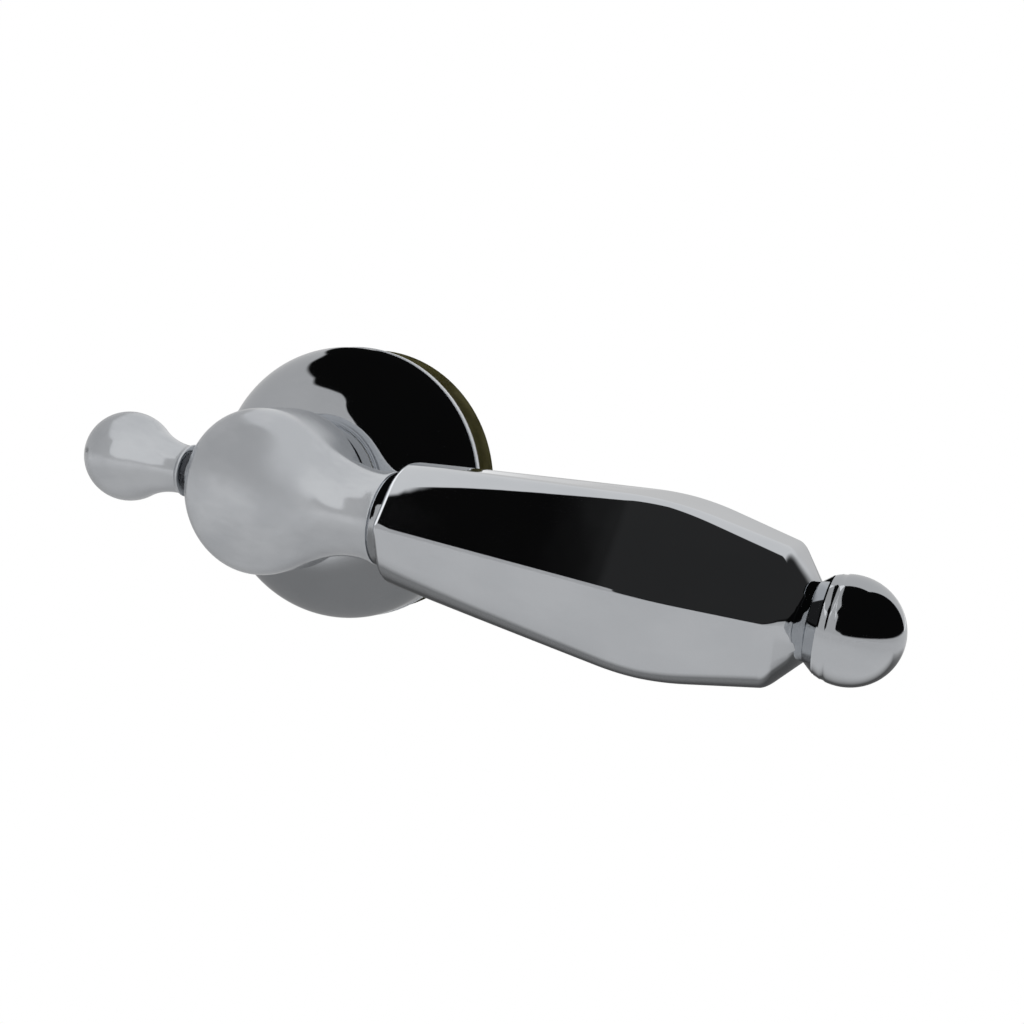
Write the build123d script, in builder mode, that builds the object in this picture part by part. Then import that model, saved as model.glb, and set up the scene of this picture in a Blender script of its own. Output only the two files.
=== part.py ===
import os
from math import asin, cos, degrees, radians, sin, sqrt

from build123d import *

# Cistern lever: a chromed handle on a sprung spindle, with a domed escutcheon clamped to the cistern wall.
# Frame: X runs along the handle, Y into the cistern, Z up.
# The origin is on the spindle axis, where the gasket meets the wall.

# Cistern wall and what clamps it
wall_thickness = 10.0
gasket_thickness = 6.0
gasket_chamfer = 0.5
gasket_inset = 0.4
escutcheon_radius = 22.4
escutcheon_height = 15.4
escutcheon_lip = 1.2
escutcheon_lip_step = 0.15
escutcheon_wall = 1.6
escutcheon_land = 0.5
shank_radius = 7.95
shank_bore_radius = 5.3
shank_head_radius = 10.4
shank_head_thickness = 1.8
shank_head_chamfer = 0.4
shank_tail = 4.0
shank_chamfer = 0.8
inner_seal_radius = 14.0
inner_seal_thickness = 2.0
inner_washer_radius = 13.0
inner_washer_thickness = 1.2
nut_across_flats = 24.0
nut_thickness = 7.0
nut_corner_drop = 1.0

# Spindle and its bearings
spindle_radius = 4.0
spindle_socket = 7.4
spindle_flat = 0.6
spindle_chamfer = 0.5
bush_length = 9.0
bush_flange_thickness = 0.8
front_flange_radius = 10.0
rear_flange_radius = 7.2
clip_washer_radius = 6.6
clip_washer_thickness = 0.6
clip_radius = 6.2
clip_thickness = 0.8
clip_groove_depth = 0.7
clip_mouth = 4.0
arm_shoulder_length = 2.0
arm_seat_radius = 3.5
arm_seat_length = 14.0
arm_seat_flat = 0.5

# Stop pin and return spring, both in the back of the hub
handle_travel = 35.0
stop_pin_radius = 1.0
stop_pin_circle = 8.1
stop_pin_reach = 4.0
stop_slot_margin = 0.4
spring_chamber_radius = 7.0
spring_chamber_depth = 7.5
spring_radius = 6.0
spring_wire = 1.0
spring_pitch = 1.35
spring_turns = 3.25
spring_bend = 1.5
spring_leg_tip = 8.8
spring_tail_depth = 2.4

# Hub
hub_radius = 12.4
hub_band = 7.0
hub_edge_radius = 4.0
hub_face_tilt = 15.0
hub_back_depth = 9.3
hub_back_rise = 3.5
hub_boss_radius = 10.4
neck_waist_x = 16.2
neck_waist_radius = 6.6
neck_root_depth = 7.2
neck_end_x = 19.8
neck_end_radius = 7.0
neck_end_corner = 0.25
neck_groove_width = 2.2
neck_groove_radius = 6.5
neck_spigot_radius = 4.9
neck_spigot_length = 2.4
grub_screw_radius = 2.5
grub_screw_length = 7.5
grub_socket_width = 2.5
grub_socket_depth = 3.0

# Side finial
side_ball_radius = 6.95
side_ball_x = 25.85
side_neck_radius = 3.75
side_neck_x = 15.5
side_base_radius = 4.05
side_base_x = 14.65
side_base_edge = 0.35
side_stem_radius = 3.1
side_bead_height = 0.35
side_bead_width = 0.7
side_seat_depth = 0.4
side_spigot_radius = 2.4
side_spigot_length = 5.2

# Six-sided grip
grip_sides = 6
grip_rise = 40.4
grip_fall = 16.1
grip_chamfer_length = 3.7
grip_start_radius = 10.28
grip_apex_radius = 14.18
grip_shoulder_radius = 10.71
grip_end_radius = 6.2
grip_apex_blend = 6.0
grip_taper_steps = 4
grip_start_corner = 8.0
grip_corner = 1.3
grip_end_corner = 5.0
grip_end_round = 0.9

# End finial and the rod that ties the grip
end_ball_radius = 7.3
end_ball_offset = 4.7
end_collar_radius = 5.35
end_collar_length = 1.5
end_ring_width = 0.8
end_groove_width = 0.25
end_groove_depth = 0.35
end_cove_width = 0.8
tie_rod_radius = 3.0
tie_rod_start_x = 9.5
tie_rod_hold = 8.0
tie_rod_chamfer = 0.4

# Clearances
running_clearance = 0.05
thread_clearance = 0.05
sliding_clearance = 0.05
end_float = 0.1
rod_clearance = 0.2
wire_clearance = 0.2
hole_clearance = 0.15

# Places along the spindle axis
rim_y = -gasket_thickness
dome_top_y = rim_y - escutcheon_height
head_front_y = dome_top_y - shank_head_thickness
flange_front_y = head_front_y - bush_flange_thickness
hub_back_y = flange_front_y - end_float
lever_y = hub_back_y - hub_back_depth
chamber_floor_y = hub_back_y - spring_chamber_depth
spindle_front_y = chamber_floor_y - spindle_socket
screw_y = chamber_floor_y - spindle_socket / 2
washer_y = wall_thickness + inner_seal_thickness
nut_y = washer_y + inner_washer_thickness
shank_end_y = nut_y + nut_thickness + shank_tail
rear_flange_y = shank_end_y + bush_flange_thickness
clip_washer_y = rear_flange_y + end_float
clip_y = clip_washer_y + clip_washer_thickness
clip_back_y = clip_y + clip_thickness
arm_shoulder_y = clip_back_y + arm_shoulder_length
spindle_end_y = arm_shoulder_y + arm_seat_length

# Places along the handle
grip_start_x = neck_end_x + neck_groove_width
grip_apex_x = grip_start_x + grip_rise
grip_shoulder_x = grip_apex_x + grip_fall
grip_end_x = grip_shoulder_x + grip_chamfer_length
end_ball_x = grip_end_x + end_ball_offset
side_seat_x = hub_radius - side_seat_depth
tie_rod_end_x = grip_end_x + tie_rod_hold

lever_plane = Plane(origin=(0, lever_y, 0), x_dir=(1, 0, 0), z_dir=(0, 0, 1))
lever_axis = Axis((0, lever_y, 0), (1, 0, 0))


def back_plane(y):
    return Plane(origin=(0, y, 0), x_dir=(1, 0, 0), z_dir=(0, 1, 0))


def across_plane(x):
    return Plane(origin=(x, lever_y, 0), x_dir=(0, 1, 0), z_dir=(1, 0, 0))


def finish(piece, name):
    piece.part.label = name
    export_step(piece.part, f"parts/{name}.step")


os.makedirs("parts", exist_ok=True)

# Gasket: a thick rubber ring between the escutcheon's rim and the cistern wall
with BuildPart() as gasket:
    with BuildSketch(back_plane(rim_y)):
        Circle(escutcheon_radius - gasket_inset)
        Circle(shank_radius + hole_clearance, mode=Mode.SUBTRACT)
    extrude(amount=gasket_thickness)
    gasket_rim = gasket.edges().filter_by(GeomType.CIRCLE).sort_by(SortBy.RADIUS)[-2:]
    chamfer(gasket_rim, gasket_chamfer)
finish(gasket, "gasket")

# Escutcheon: a deep dome, shelled open at the back, with a flat land for the shank's head
land_radius = shank_head_radius + escutcheon_land
flank_radius = escutcheon_radius - escutcheon_lip_step
shoulder_y = dome_top_y + flank_radius - land_radius
with BuildPart() as escutcheon:
    with BuildSketch(Plane.XY):
        with BuildLine():
            shoulder = (flank_radius, shoulder_y)
            Polyline(
                (0, rim_y),
                (escutcheon_radius, rim_y),
                (escutcheon_radius, rim_y - escutcheon_lip),
                (flank_radius, rim_y - escutcheon_lip),
                shoulder,
            )
            TangentArc(shoulder, (land_radius, dome_top_y), tangent=(0, -1))
            Polyline((land_radius, dome_top_y), (0, dome_top_y), (0, rim_y))
        make_face()
    revolve(axis=Axis.Y)
    open_back = escutcheon.faces().sort_by(Axis.Y)[-1]
    offset(amount=-escutcheon_wall, openings=open_back)
    with Locations(back_plane(dome_top_y).rotated((180, 0, 0))):
        Hole(shank_radius + hole_clearance, depth=escutcheon_wall * 2)
finish(escutcheon, "escutcheon")

# Where the spring's straight leg stands beside the stop pin, below the spindle
spring_start_angle = 90.0
leg_side = spring_bend + spring_wire / 2
pin_side = stop_pin_radius + wire_clearance / 4 - (spring_bend - spring_wire / 2)
stop_pin_angle = spring_start_angle + degrees(asin(pin_side / stop_pin_circle))
stop_pin_spot = (
    stop_pin_circle * cos(radians(stop_pin_angle)),
    stop_pin_circle * sin(radians(stop_pin_angle)),
)

# Shank: threaded tube with a round head that pulls the escutcheon on to the gasket
with BuildPart() as shank:
    with BuildSketch(back_plane(head_front_y)):
        Circle(shank_head_radius)
    extrude(amount=shank_head_thickness)
    chamfer(shank.edges().filter_by(GeomType.CIRCLE).sort_by(Axis.Y)[0], shank_head_chamfer)
    with BuildSketch(back_plane(dome_top_y)):
        Circle(shank_radius)
    extrude(amount=shank_end_y - dome_top_y)
    chamfer(shank.edges().filter_by(GeomType.CIRCLE).sort_by(Axis.Y)[-1], shank_chamfer)
    with Locations(back_plane(shank_end_y)):
        Hole(shank_bore_radius)
    with BuildSketch(back_plane(head_front_y)):
        with Locations(stop_pin_spot):
            Circle(stop_pin_radius)
    extrude(amount=shank_head_thickness, mode=Mode.SUBTRACT)
finish(shank, "shank")

# Stop pin: pressed through the shank's head, standing in the hub's curved slot
with BuildPart() as stop_pin:
    with BuildSketch(back_plane(hub_back_y - stop_pin_reach)):
        with Locations(stop_pin_spot):
            Circle(stop_pin_radius)
    extrude(amount=dome_top_y - hub_back_y + stop_pin_reach)
finish(stop_pin, "stop_pin")

# Front bush: its wide flange is the thrust face under the hub
with BuildPart() as front_bush:
    with BuildSketch(back_plane(flange_front_y)):
        Circle(front_flange_radius)
        with Locations(stop_pin_spot):
            Circle(stop_pin_radius + running_clearance, mode=Mode.SUBTRACT)
    extrude(amount=bush_flange_thickness)
    with BuildSketch(back_plane(head_front_y)):
        Circle(shank_bore_radius)
    extrude(amount=bush_length)
    with Locations(back_plane(head_front_y + bush_length)):
        Hole(spindle_radius + running_clearance)
finish(front_bush, "front_bush")

# Rear bush: seated in the shank's inner end
with BuildPart() as rear_bush:
    with BuildSketch(back_plane(shank_end_y)):
        Circle(rear_flange_radius)
    extrude(amount=bush_flange_thickness)
    with BuildSketch(back_plane(shank_end_y - bush_length)):
        Circle(shank_bore_radius)
    extrude(amount=bush_length)
    with Locations(back_plane(rear_flange_y)):
        Hole(spindle_radius + running_clearance)
finish(rear_bush, "rear_bush")

# Inner seal and washer behind the cistern wall
with BuildPart() as inner_seal:
    with BuildSketch(back_plane(wall_thickness)):
        Circle(inner_seal_radius)
        Circle(shank_radius + hole_clearance, mode=Mode.SUBTRACT)
    extrude(amount=inner_seal_thickness)
finish(inner_seal, "inner_seal")

with BuildPart() as inner_washer:
    with BuildSketch(back_plane(washer_y)):
        Circle(inner_washer_radius)
        Circle(shank_radius + hole_clearance, mode=Mode.SUBTRACT)
    extrude(amount=inner_washer_thickness)
finish(inner_washer, "inner_washer")

# Lock nut: a hexagon with its outer corners turned off
nut_flat_radius = nut_across_flats / 2
nut_corner_radius = nut_flat_radius / cos(radians(30))
nut_back_y = nut_y + nut_thickness
with BuildPart() as lock_nut:
    with BuildSketch(back_plane(nut_y)):
        RegularPolygon(nut_flat_radius, 6, major_radius=False)
    extrude(amount=nut_thickness)
    with BuildSketch(Plane.XY):
        with BuildLine():
            Polyline(
                (0, nut_y),
                (nut_corner_radius, nut_y),
                (nut_corner_radius, nut_back_y - nut_corner_drop),
                (nut_flat_radius, nut_back_y),
                (0, nut_back_y),
                close=True,
            )
        make_face()
    revolve(axis=Axis.Y, mode=Mode.INTERSECT)
    with Locations(back_plane(nut_back_y)):
        Hole(shank_radius + thread_clearance)
finish(lock_nut, "lock_nut")

# Return spring: square wire, with a bent leg that bears on the stop pin and a tail held in the hub
with BuildPart() as return_spring:
    with BuildLine() as coil_path:
        coil = Helix(
            pitch=spring_pitch,
            height=spring_pitch * spring_turns,
            radius=spring_radius,
            center=(0, flange_front_y - (spring_wire + wire_clearance) / 2, 0),
            direction=(0, -1, 0),
            lefthand=True,
        )
    outward = Vector((coil @ 0).X, 0, (coil @ 0).Z).normalized()
    across = (coil % 0).cross(outward)
    with BuildSketch(Plane(origin=coil @ 0, x_dir=outward, z_dir=coil % 0)):
        Rectangle(spring_wire, spring_wire)
    sweep(path=coil_path.wires()[0], is_frenet=True)
    wire_ends = return_spring.faces().filter_by(GeomType.PLANE)
    leg_root = wire_ends.sort_by_distance(coil @ 0)[0]
    tail_root = wire_ends.sort_by_distance(coil @ 1)[0]
    # Leg: bent outwards from the coil's first turn
    leg_bend = Axis(coil @ 0 + outward * spring_bend, across)
    revolve(leg_root, axis=leg_bend, revolution_arc=-90)
    leg_foot = coil @ 0 + outward * spring_bend - (coil % 0) * spring_bend
    leg_face = return_spring.faces().filter_by(GeomType.PLANE).sort_by_distance(leg_foot)[0]
    extrude(leg_face, amount=spring_leg_tip - spring_radius - spring_bend)
    # Tail: bent forwards from the last turn into the chamber floor
    inward = Vector(-(coil @ 1).X, 0, -(coil @ 1).Z).normalized()
    forward = inward.cross(coil % 1)
    tail_bend = Axis(coil @ 1 + forward * spring_bend, inward)
    revolve(tail_root, axis=tail_bend, revolution_arc=90)
    tail_foot = coil @ 1 + (coil % 1) * spring_bend + forward * spring_bend
    tail_face = return_spring.faces().filter_by(GeomType.PLANE).sort_by_distance(tail_foot)[0]
    tail_length = tail_foot.Y - chamber_floor_y + spring_tail_depth
    extrude(tail_face, amount=tail_length)
    tail_tip = tail_foot + forward * tail_length
finish(return_spring, "return_spring")

# Spindle: joined to the hub in front, carries the flush arm on its flatted tail
flat_span = 2 * spindle_radius
with BuildPart() as spindle:
    with BuildSketch(Plane.XY):
        with BuildLine():
            Polyline(
                (0, spindle_front_y),
                (spindle_radius - spindle_chamfer, spindle_front_y),
                (spindle_radius, spindle_front_y + spindle_chamfer),
                (spindle_radius, clip_y),
                (spindle_radius - clip_groove_depth, clip_y),
                (spindle_radius - clip_groove_depth, clip_back_y + sliding_clearance),
                (spindle_radius, clip_back_y + sliding_clearance),
                (spindle_radius, arm_shoulder_y),
                (arm_seat_radius, arm_shoulder_y),
                (arm_seat_radius, spindle_end_y - spindle_chamfer),
                (arm_seat_radius - spindle_chamfer, spindle_end_y),
                (0, spindle_end_y),
                close=True,
            )
        make_face()
    revolve(axis=Axis.Y)
    with BuildSketch(back_plane(spindle_front_y)):
        with Locations((0, spindle_radius)):
            Rectangle(flat_span, 2 * spindle_flat)
    extrude(amount=spindle_socket, mode=Mode.SUBTRACT)
    with BuildSketch(back_plane(arm_shoulder_y)):
        with Locations((0, arm_seat_radius)):
            Rectangle(flat_span, 2 * arm_seat_flat)
    extrude(amount=arm_seat_length, mode=Mode.SUBTRACT)
finish(spindle, "spindle")

# Washer and open clip that keep the spindle in the shank
with BuildPart() as clip_washer:
    with BuildSketch(back_plane(clip_washer_y)):
        Circle(clip_washer_radius)
        Circle(spindle_radius + sliding_clearance, mode=Mode.SUBTRACT)
    extrude(amount=clip_washer_thickness)
finish(clip_washer, "clip_washer")

with BuildPart() as retaining_clip:
    with BuildSketch(back_plane(clip_y)):
        Circle(clip_radius)
        Circle(spindle_radius - clip_groove_depth + sliding_clearance, mode=Mode.SUBTRACT)
        with Locations((0, clip_radius)):
            Rectangle(clip_mouth, 2 * clip_radius, mode=Mode.SUBTRACT)
    extrude(amount=clip_thickness)
finish(retaining_clip, "retaining_clip")

# Hub: a cushion turned about the spindle axis, with a waisted neck lofted towards the grip
half_band = hub_band / 2
tilt = radians(hub_face_tilt)
face_edge = (
    hub_radius - hub_edge_radius * (1 - sin(tilt)),
    lever_y - half_band - hub_edge_radius * cos(tilt),
)
face_radius = face_edge[0] / sin(tilt)
face_apex_y = face_edge[1] - face_radius * (1 - cos(tilt))
face_middle = (face_radius * sin(tilt / 2), face_apex_y + face_radius * (1 - cos(tilt / 2)))
waist_blend = (neck_waist_x**2 + neck_waist_radius**2 - hub_radius**2) / (2 * (hub_radius - neck_waist_radius))
neck_root_x = hub_radius * neck_waist_x / (hub_radius + waist_blend)
neck_middle_x = (neck_root_x + neck_waist_x) / 2


def neck_height(x):
    return neck_waist_radius + waist_blend - sqrt(waist_blend**2 - (neck_waist_x - x) ** 2)


def neck_section(x, depth, height):
    with BuildSketch(across_plane(x)) as section:
        Ellipse(depth, height)
    return section.sketch


with BuildPart() as lever_hub:
    with BuildSketch(Plane.XY):
        with BuildLine():
            ThreePointArc((0, face_apex_y), face_middle, face_edge)
            TangentArc(face_edge, (hub_radius, lever_y - half_band), tangent=(cos(tilt), sin(tilt)))
            Line((hub_radius, lever_y - half_band), (hub_radius, lever_y + half_band))
            boss_edge = (hub_boss_radius, lever_y + half_band + hub_back_rise)
            TangentArc((hub_radius, lever_y + half_band), boss_edge, tangent=(0, 1))
            Polyline(boss_edge, (hub_boss_radius, hub_back_y), (0, hub_back_y), (0, face_apex_y))
        make_face()
    revolve(axis=Axis.Y)
    root = neck_section(neck_root_x, neck_root_depth, neck_height(neck_root_x))
    middle_depth = (neck_root_depth + 2 * neck_waist_radius) / 3
    middle = neck_section(neck_middle_x, middle_depth, neck_height(neck_middle_x))
    waist = neck_section(neck_waist_x, neck_waist_radius, neck_waist_radius)
    extrude(root, amount=-neck_root_x / 2)
    loft(sections=[root.face(), middle.face(), waist.face()])
    # Flared rim, groove and spigot, turned about the handle's line
    with BuildSketch(lever_plane):
        with BuildLine():
            waist_top = (neck_waist_x, neck_waist_radius)
            rim_top = (neck_end_x - neck_end_corner, neck_end_radius)
            TangentArc(waist_top, rim_top, tangent=(1, 0))
            Polyline(
                rim_top,
                (neck_end_x, neck_end_radius - neck_end_corner),
                (neck_end_x, neck_groove_radius),
                (grip_start_x, neck_groove_radius),
                (grip_start_x, neck_spigot_radius),
                (grip_start_x + neck_spigot_length, neck_spigot_radius),
                (grip_start_x + neck_spigot_length, 0),
                (neck_waist_x, 0),
                waist_top,
            )
        make_face()
    revolve(axis=lever_axis)
    # Spring chamber, with the spindle's socket in its floor
    with Locations(back_plane(hub_back_y)):
        CounterBoreHole(
            spindle_radius + sliding_clearance,
            spring_chamber_radius,
            spring_chamber_depth,
            depth=spring_chamber_depth + spindle_socket,
        )
    # Curved slot for the stop pin, long enough for the travel and the spring's leg
    leg_angle = degrees(asin((leg_side + wire_clearance) / stop_pin_circle))
    slot_sweep = handle_travel + leg_angle + stop_pin_angle - spring_start_angle
    with BuildSketch(back_plane(hub_back_y)):
        slot_line = CenterArc((0, 0), stop_pin_circle, stop_pin_angle, -slot_sweep, mode=Mode.PRIVATE)
        SlotArc(slot_line, 2 * (stop_pin_radius + stop_slot_margin))
    extrude(amount=-(stop_pin_reach + stop_slot_margin), mode=Mode.SUBTRACT)
    # Hole for the spring's tail in the chamber floor
    with BuildSketch(Plane(origin=(tail_tip.X, chamber_floor_y, tail_tip.Z), z_dir=(0, -1, 0))):
        Circle(spring_wire / sqrt(2) + wire_clearance)
    extrude(amount=spring_tail_depth + wire_clearance, mode=Mode.SUBTRACT)
    # Grub screw hole from below, tie rod hole in the neck, and the side finial's seat
    with Locations(Plane(origin=(0, screw_y, -hub_radius), z_dir=(0, 0, -1))):
        Hole(grub_screw_radius + thread_clearance, depth=hub_radius)
    with Locations(across_plane(grip_start_x + neck_spigot_length)):
        Hole(tie_rod_radius + thread_clearance, depth=grip_start_x + neck_spigot_length - tie_rod_start_x)
    with Locations(Plane(origin=(-hub_radius, lever_y, 0), z_dir=(-1, 0, 0))):
        CounterBoreHole(
            side_spigot_radius + thread_clearance,
            side_stem_radius + hole_clearance,
            side_seat_depth,
            depth=side_seat_depth + side_spigot_length + hole_clearance,
        )
finish(lever_hub, "lever_hub")

# Grub screw: a socket screw that bears on the spindle's flat
screw_tip_z = -(spindle_radius - spindle_flat)
with BuildPart() as grub_screw:
    with BuildSketch(Plane(origin=(0, screw_y, screw_tip_z), z_dir=(0, 0, -1))):
        Circle(grub_screw_radius)
    extrude(amount=grub_screw_length)
    with BuildSketch(Plane(origin=(0, screw_y, screw_tip_z - grub_screw_length), z_dir=(0, 0, -1))):
        RegularPolygon(grub_socket_width / 2, 6, major_radius=False)
    extrude(amount=-grub_socket_depth, mode=Mode.SUBTRACT)
finish(grub_screw, "grub_screw")

# Side finial: a pear-shaped ball on a waisted neck, with a beaded stem screwed into the hub
neck_span = side_ball_x - side_neck_x
neck_curve = (neck_span**2 + side_neck_radius**2 - side_ball_radius**2) / (2 * (side_ball_radius - side_neck_radius))
curve_share = side_ball_radius / (side_ball_radius + neck_curve)
ball_leave = (
    -side_ball_x + neck_span * curve_share,
    (side_neck_radius + neck_curve) * curve_share,
)
bead_x = -(side_base_x + side_seat_x - side_base_edge) / 2
with BuildPart() as side_finial:
    with BuildSketch(lever_plane):
        with BuildLine():
            spigot_end_x = -side_seat_x + side_spigot_length
            base_edge = (-side_base_x, side_base_radius)
            ball_end = (-side_ball_x - side_ball_radius, 0)
            Polyline(
                (spigot_end_x, 0),
                (spigot_end_x, side_spigot_radius),
                (-side_seat_x, side_spigot_radius),
                (-side_seat_x, side_stem_radius),
                (bead_x + side_bead_width / 2, side_stem_radius),
                (bead_x, side_stem_radius + side_bead_height),
                (bead_x - side_bead_width / 2, side_stem_radius),
                (-side_base_x + side_base_edge, side_stem_radius),
                (-side_base_x + side_base_edge, side_base_radius),
                base_edge,
            )
            TangentArc((-side_neck_x, side_neck_radius), base_edge, tangent=(1, 0))
            TangentArc((-side_neck_x, side_neck_radius), ball_leave, tangent=(-1, 0))
            ThreePointArc(ball_end, (-side_ball_x, side_ball_radius), ball_leave)
            Line(ball_end, (spigot_end_x, 0))
        make_face()
    revolve(axis=lever_axis)
finish(side_finial, "side_finial")


# Grip: nearly round at the hub, six-sided where it swells, with a crisp edge in front and behind
def grip_radius(x):
    rise_slope = (grip_apex_radius - grip_start_radius) / grip_rise
    fall_slope = (grip_shoulder_radius - grip_apex_radius) / grip_fall
    from_apex = x - grip_apex_x
    slope = rise_slope if from_apex < 0 else fall_slope
    radius = grip_apex_radius + slope * from_apex
    inside = max(0, grip_apex_blend - abs(from_apex))
    return radius - (rise_slope - fall_slope) * inside**2 / (4 * grip_apex_blend)


def grip_corner_radius(x):
    share = min(1, (x - grip_start_x) / grip_rise)
    return grip_start_corner + (grip_corner - grip_start_corner) * sqrt(max(0, share))


def grip_section(x, radius, corner, edge):
    side_turn = 360 / grip_sides
    bends = [edge, corner, corner, edge, corner, corner]
    with BuildSketch(across_plane(x)) as section:
        with BuildLine():
            arcs = []
            for side, bend in enumerate(bends):
                turn = side * side_turn
                reach = radius - bend / cos(radians(side_turn / 2))
                centre = (reach * cos(radians(turn)), reach * sin(radians(turn)))
                arcs.append(CenterArc(centre, bend, turn - side_turn / 2, side_turn))
            for arc, following in zip(arcs, arcs[1:] + arcs[:1]):
                Line(arc @ 1, following @ 0)
        make_face()
    return section.sketch.face()


def grip_loft(stations, ruled):
    sections = [grip_section(x, grip_radius(x), grip_corner_radius(x), grip_corner) for x in stations]
    loft(sections=sections, ruled=ruled)


swell_start_x = grip_apex_x - grip_apex_blend
swell_end_x = grip_apex_x + grip_apex_blend
taper_step = (swell_start_x - grip_start_x) / grip_taper_steps
taper_stations = [grip_start_x + taper_step * i for i in range(grip_taper_steps + 1)]
with BuildPart() as grip:
    grip_loft(taper_stations, ruled=True)
    grip_loft([swell_start_x, grip_apex_x, swell_end_x], ruled=False)
    grip_loft([swell_end_x, grip_shoulder_x], ruled=True)
    shoulder = grip_section(grip_shoulder_x, grip_shoulder_radius, grip_corner, grip_corner)
    nose = grip_section(grip_end_x, grip_end_radius, grip_end_corner, grip_end_corner)
    loft(sections=[shoulder, nose], ruled=True)
    fillet(grip.faces().sort_by(Axis.X)[0].edges(), grip_end_round)
    with Locations(across_plane(grip_start_x).rotated((180, 0, 0))):
        CounterBoreHole(
            tie_rod_radius + rod_clearance,
            neck_spigot_radius + sliding_clearance,
            neck_spigot_length + hole_clearance,
            depth=grip_end_x - grip_start_x,
        )
finish(grip, "grip")

# Tie rod: screwed into the neck and the end finial, it clamps the grip between them
with BuildPart() as tie_rod:
    with BuildSketch(across_plane(tie_rod_start_x)):
        Circle(tie_rod_radius)
    extrude(amount=tie_rod_end_x - tie_rod_start_x)
    chamfer(tie_rod.edges().filter_by(GeomType.CIRCLE), tie_rod_chamfer)
finish(tie_rod, "tie_rod")

# End finial: a ball on a collar, with a ring between a fine groove and a wider cove
ring_start_x = grip_end_x + end_collar_length
ring_end_x = ring_start_x + end_groove_width + end_ring_width


def ball_height(x):
    return sqrt(end_ball_radius**2 - (end_ball_x - x) ** 2)


with BuildPart() as end_finial:
    with BuildSketch(lever_plane):
        with BuildLine():
            ring_foot = (ring_start_x, ball_height(ring_start_x))
            ball_tip = (end_ball_x + end_ball_radius, 0)
            Polyline((grip_end_x, 0), (grip_end_x, end_collar_radius), ring_foot)
            ThreePointArc(ring_foot, (end_ball_x, end_ball_radius), ball_tip)
            Line(ball_tip, (grip_end_x, 0))
        make_face()
    revolve(axis=lever_axis)
    with BuildSketch(lever_plane):
        for groove_x, width in ((ring_start_x, end_groove_width), (ring_end_x, end_cove_width)):
            with Locations((groove_x + width / 2, ball_height(groove_x + width / 2))):
                Rectangle(width, 2 * end_groove_depth)
    revolve(axis=lever_axis, mode=Mode.SUBTRACT)
    with Locations(across_plane(grip_end_x).rotated((180, 0, 0))):
        Hole(tie_rod_radius + thread_clearance, depth=tie_rod_hold)
finish(end_finial, "end_finial")
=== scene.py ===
import math

import bmesh
import bpy
from mathutils import Matrix, Quaternion, Vector


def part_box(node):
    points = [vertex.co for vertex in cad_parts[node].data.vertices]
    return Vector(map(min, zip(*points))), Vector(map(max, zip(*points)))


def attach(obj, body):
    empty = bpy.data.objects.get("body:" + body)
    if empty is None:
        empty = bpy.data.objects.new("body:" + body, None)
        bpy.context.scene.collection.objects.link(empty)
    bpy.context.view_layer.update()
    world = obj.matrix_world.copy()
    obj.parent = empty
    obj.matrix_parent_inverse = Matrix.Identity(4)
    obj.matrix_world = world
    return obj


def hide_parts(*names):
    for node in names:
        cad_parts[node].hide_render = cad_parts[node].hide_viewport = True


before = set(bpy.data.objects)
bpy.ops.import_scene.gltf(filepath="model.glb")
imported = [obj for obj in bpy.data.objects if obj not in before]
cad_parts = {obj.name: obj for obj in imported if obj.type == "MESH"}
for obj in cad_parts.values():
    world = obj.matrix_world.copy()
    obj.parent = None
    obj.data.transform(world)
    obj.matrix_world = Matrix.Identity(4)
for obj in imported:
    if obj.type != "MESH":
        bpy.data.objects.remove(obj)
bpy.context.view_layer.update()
mm = 0.001
scene = bpy.context.scene
scene.view_settings.view_transform = "Standard"
print("frame loaded:", len(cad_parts), "nodes")


# places read from the frame, in mm
def nodeBox(name):
    low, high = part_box(name)
    return low / mm, high / mm


rodLow, rodHigh = nodeBox("tie_rod")
leverY = (rodLow.y + rodHigh.y) / 2
gripLow, gripHigh = nodeBox("grip")
hubHigh = nodeBox("lever_hub")[1]
domeLow, domeHigh = nodeBox("escutcheon")
gasketLow, gasketHigh = nodeBox("gasket")
shankLow, shankHigh = nodeBox("shank")
nutLow, nutHigh = nodeBox("lock_nut")
sideLow, sideHigh = nodeBox("side_finial")
endLow, endHigh = nodeBox("end_finial")


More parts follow.
